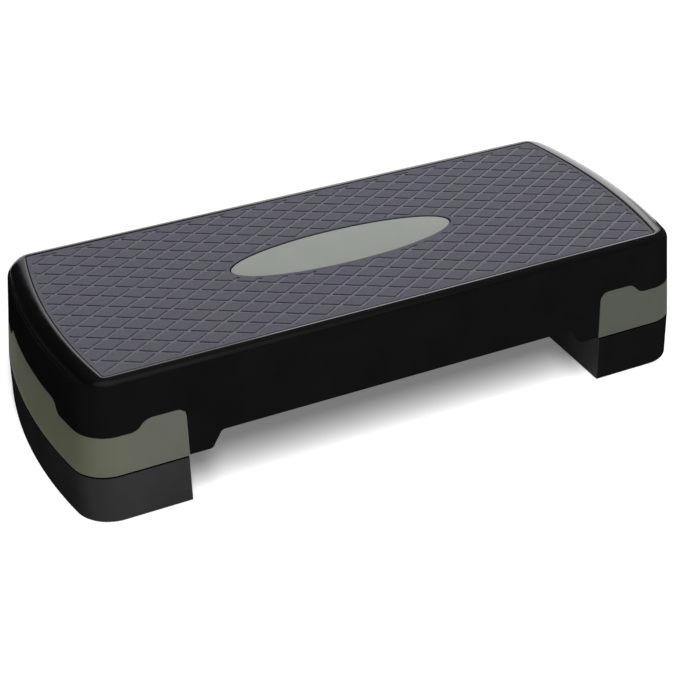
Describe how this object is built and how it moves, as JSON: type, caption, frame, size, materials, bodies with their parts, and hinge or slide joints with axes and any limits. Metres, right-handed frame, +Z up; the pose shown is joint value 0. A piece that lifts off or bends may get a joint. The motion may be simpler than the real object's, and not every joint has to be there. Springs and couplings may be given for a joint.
{
  "type": "aerobic step platform",
  "caption": "Long low exercise step: black moulded deck with bowed ends, grey diamond tread mat, bare oval plate, grey-green end risers and plug-in black feet that raise its height.",
  "frame": {"origin": "centre of the footprint, on the floor", "axes": "+X along the length, +Y from front to back, +Z up from the floor"},
  "size_m": [0.684, 0.28, 0.15],
  "materials": {
    "deck_black": "satin moulded polypropylene",
    "mat_grey": "matt soft elastomer with raised tiles",
    "plate_grey_green": "fine matt plastic",
    "riser_grey_green": "fine matt plastic",
    "foot_black": "fine-grained moulded polypropylene",
    "pad_rubber": "matt rubber",
    "screw_steel": "zinc plated"
  },
  "bodies": {
    "deck": {"deck_shell": "deck_black", "tread_mat": "mat_grey", "centre_plate": "plate_grey_green", "left_riser": "riser_grey_green", "right_riser": "riser_grey_green", "left_riser_screws": "screw_steel", "right_riser_screws": "screw_steel"},
    "left_foot_unit": {"left_foot": "foot_black", "left_pad_front_inner": "pad_rubber", "left_pad_front_outer": "pad_rubber", "left_pad_rear_inner": "pad_rubber", "left_pad_rear_outer": "pad_rubber"},
    "right_foot_unit": {"right_foot": "foot_black", "right_pad_front_inner": "pad_rubber", "right_pad_front_outer": "pad_rubber", "right_pad_rear_inner": "pad_rubber", "right_pad_rear_outer": "pad_rubber"}
  },
  "joints": [
    {"name": "left_foot_pull", "type": "slide", "parent": "deck", "child": "left_foot_unit", "axis": [0, 0, -1], "range_m": [0, 0.04]},
    {"name": "right_foot_pull", "type": "slide", "parent": "deck", "child": "right_foot_unit", "axis": [0, 0, -1], "range_m": [0, 0.04]}
  ]
}
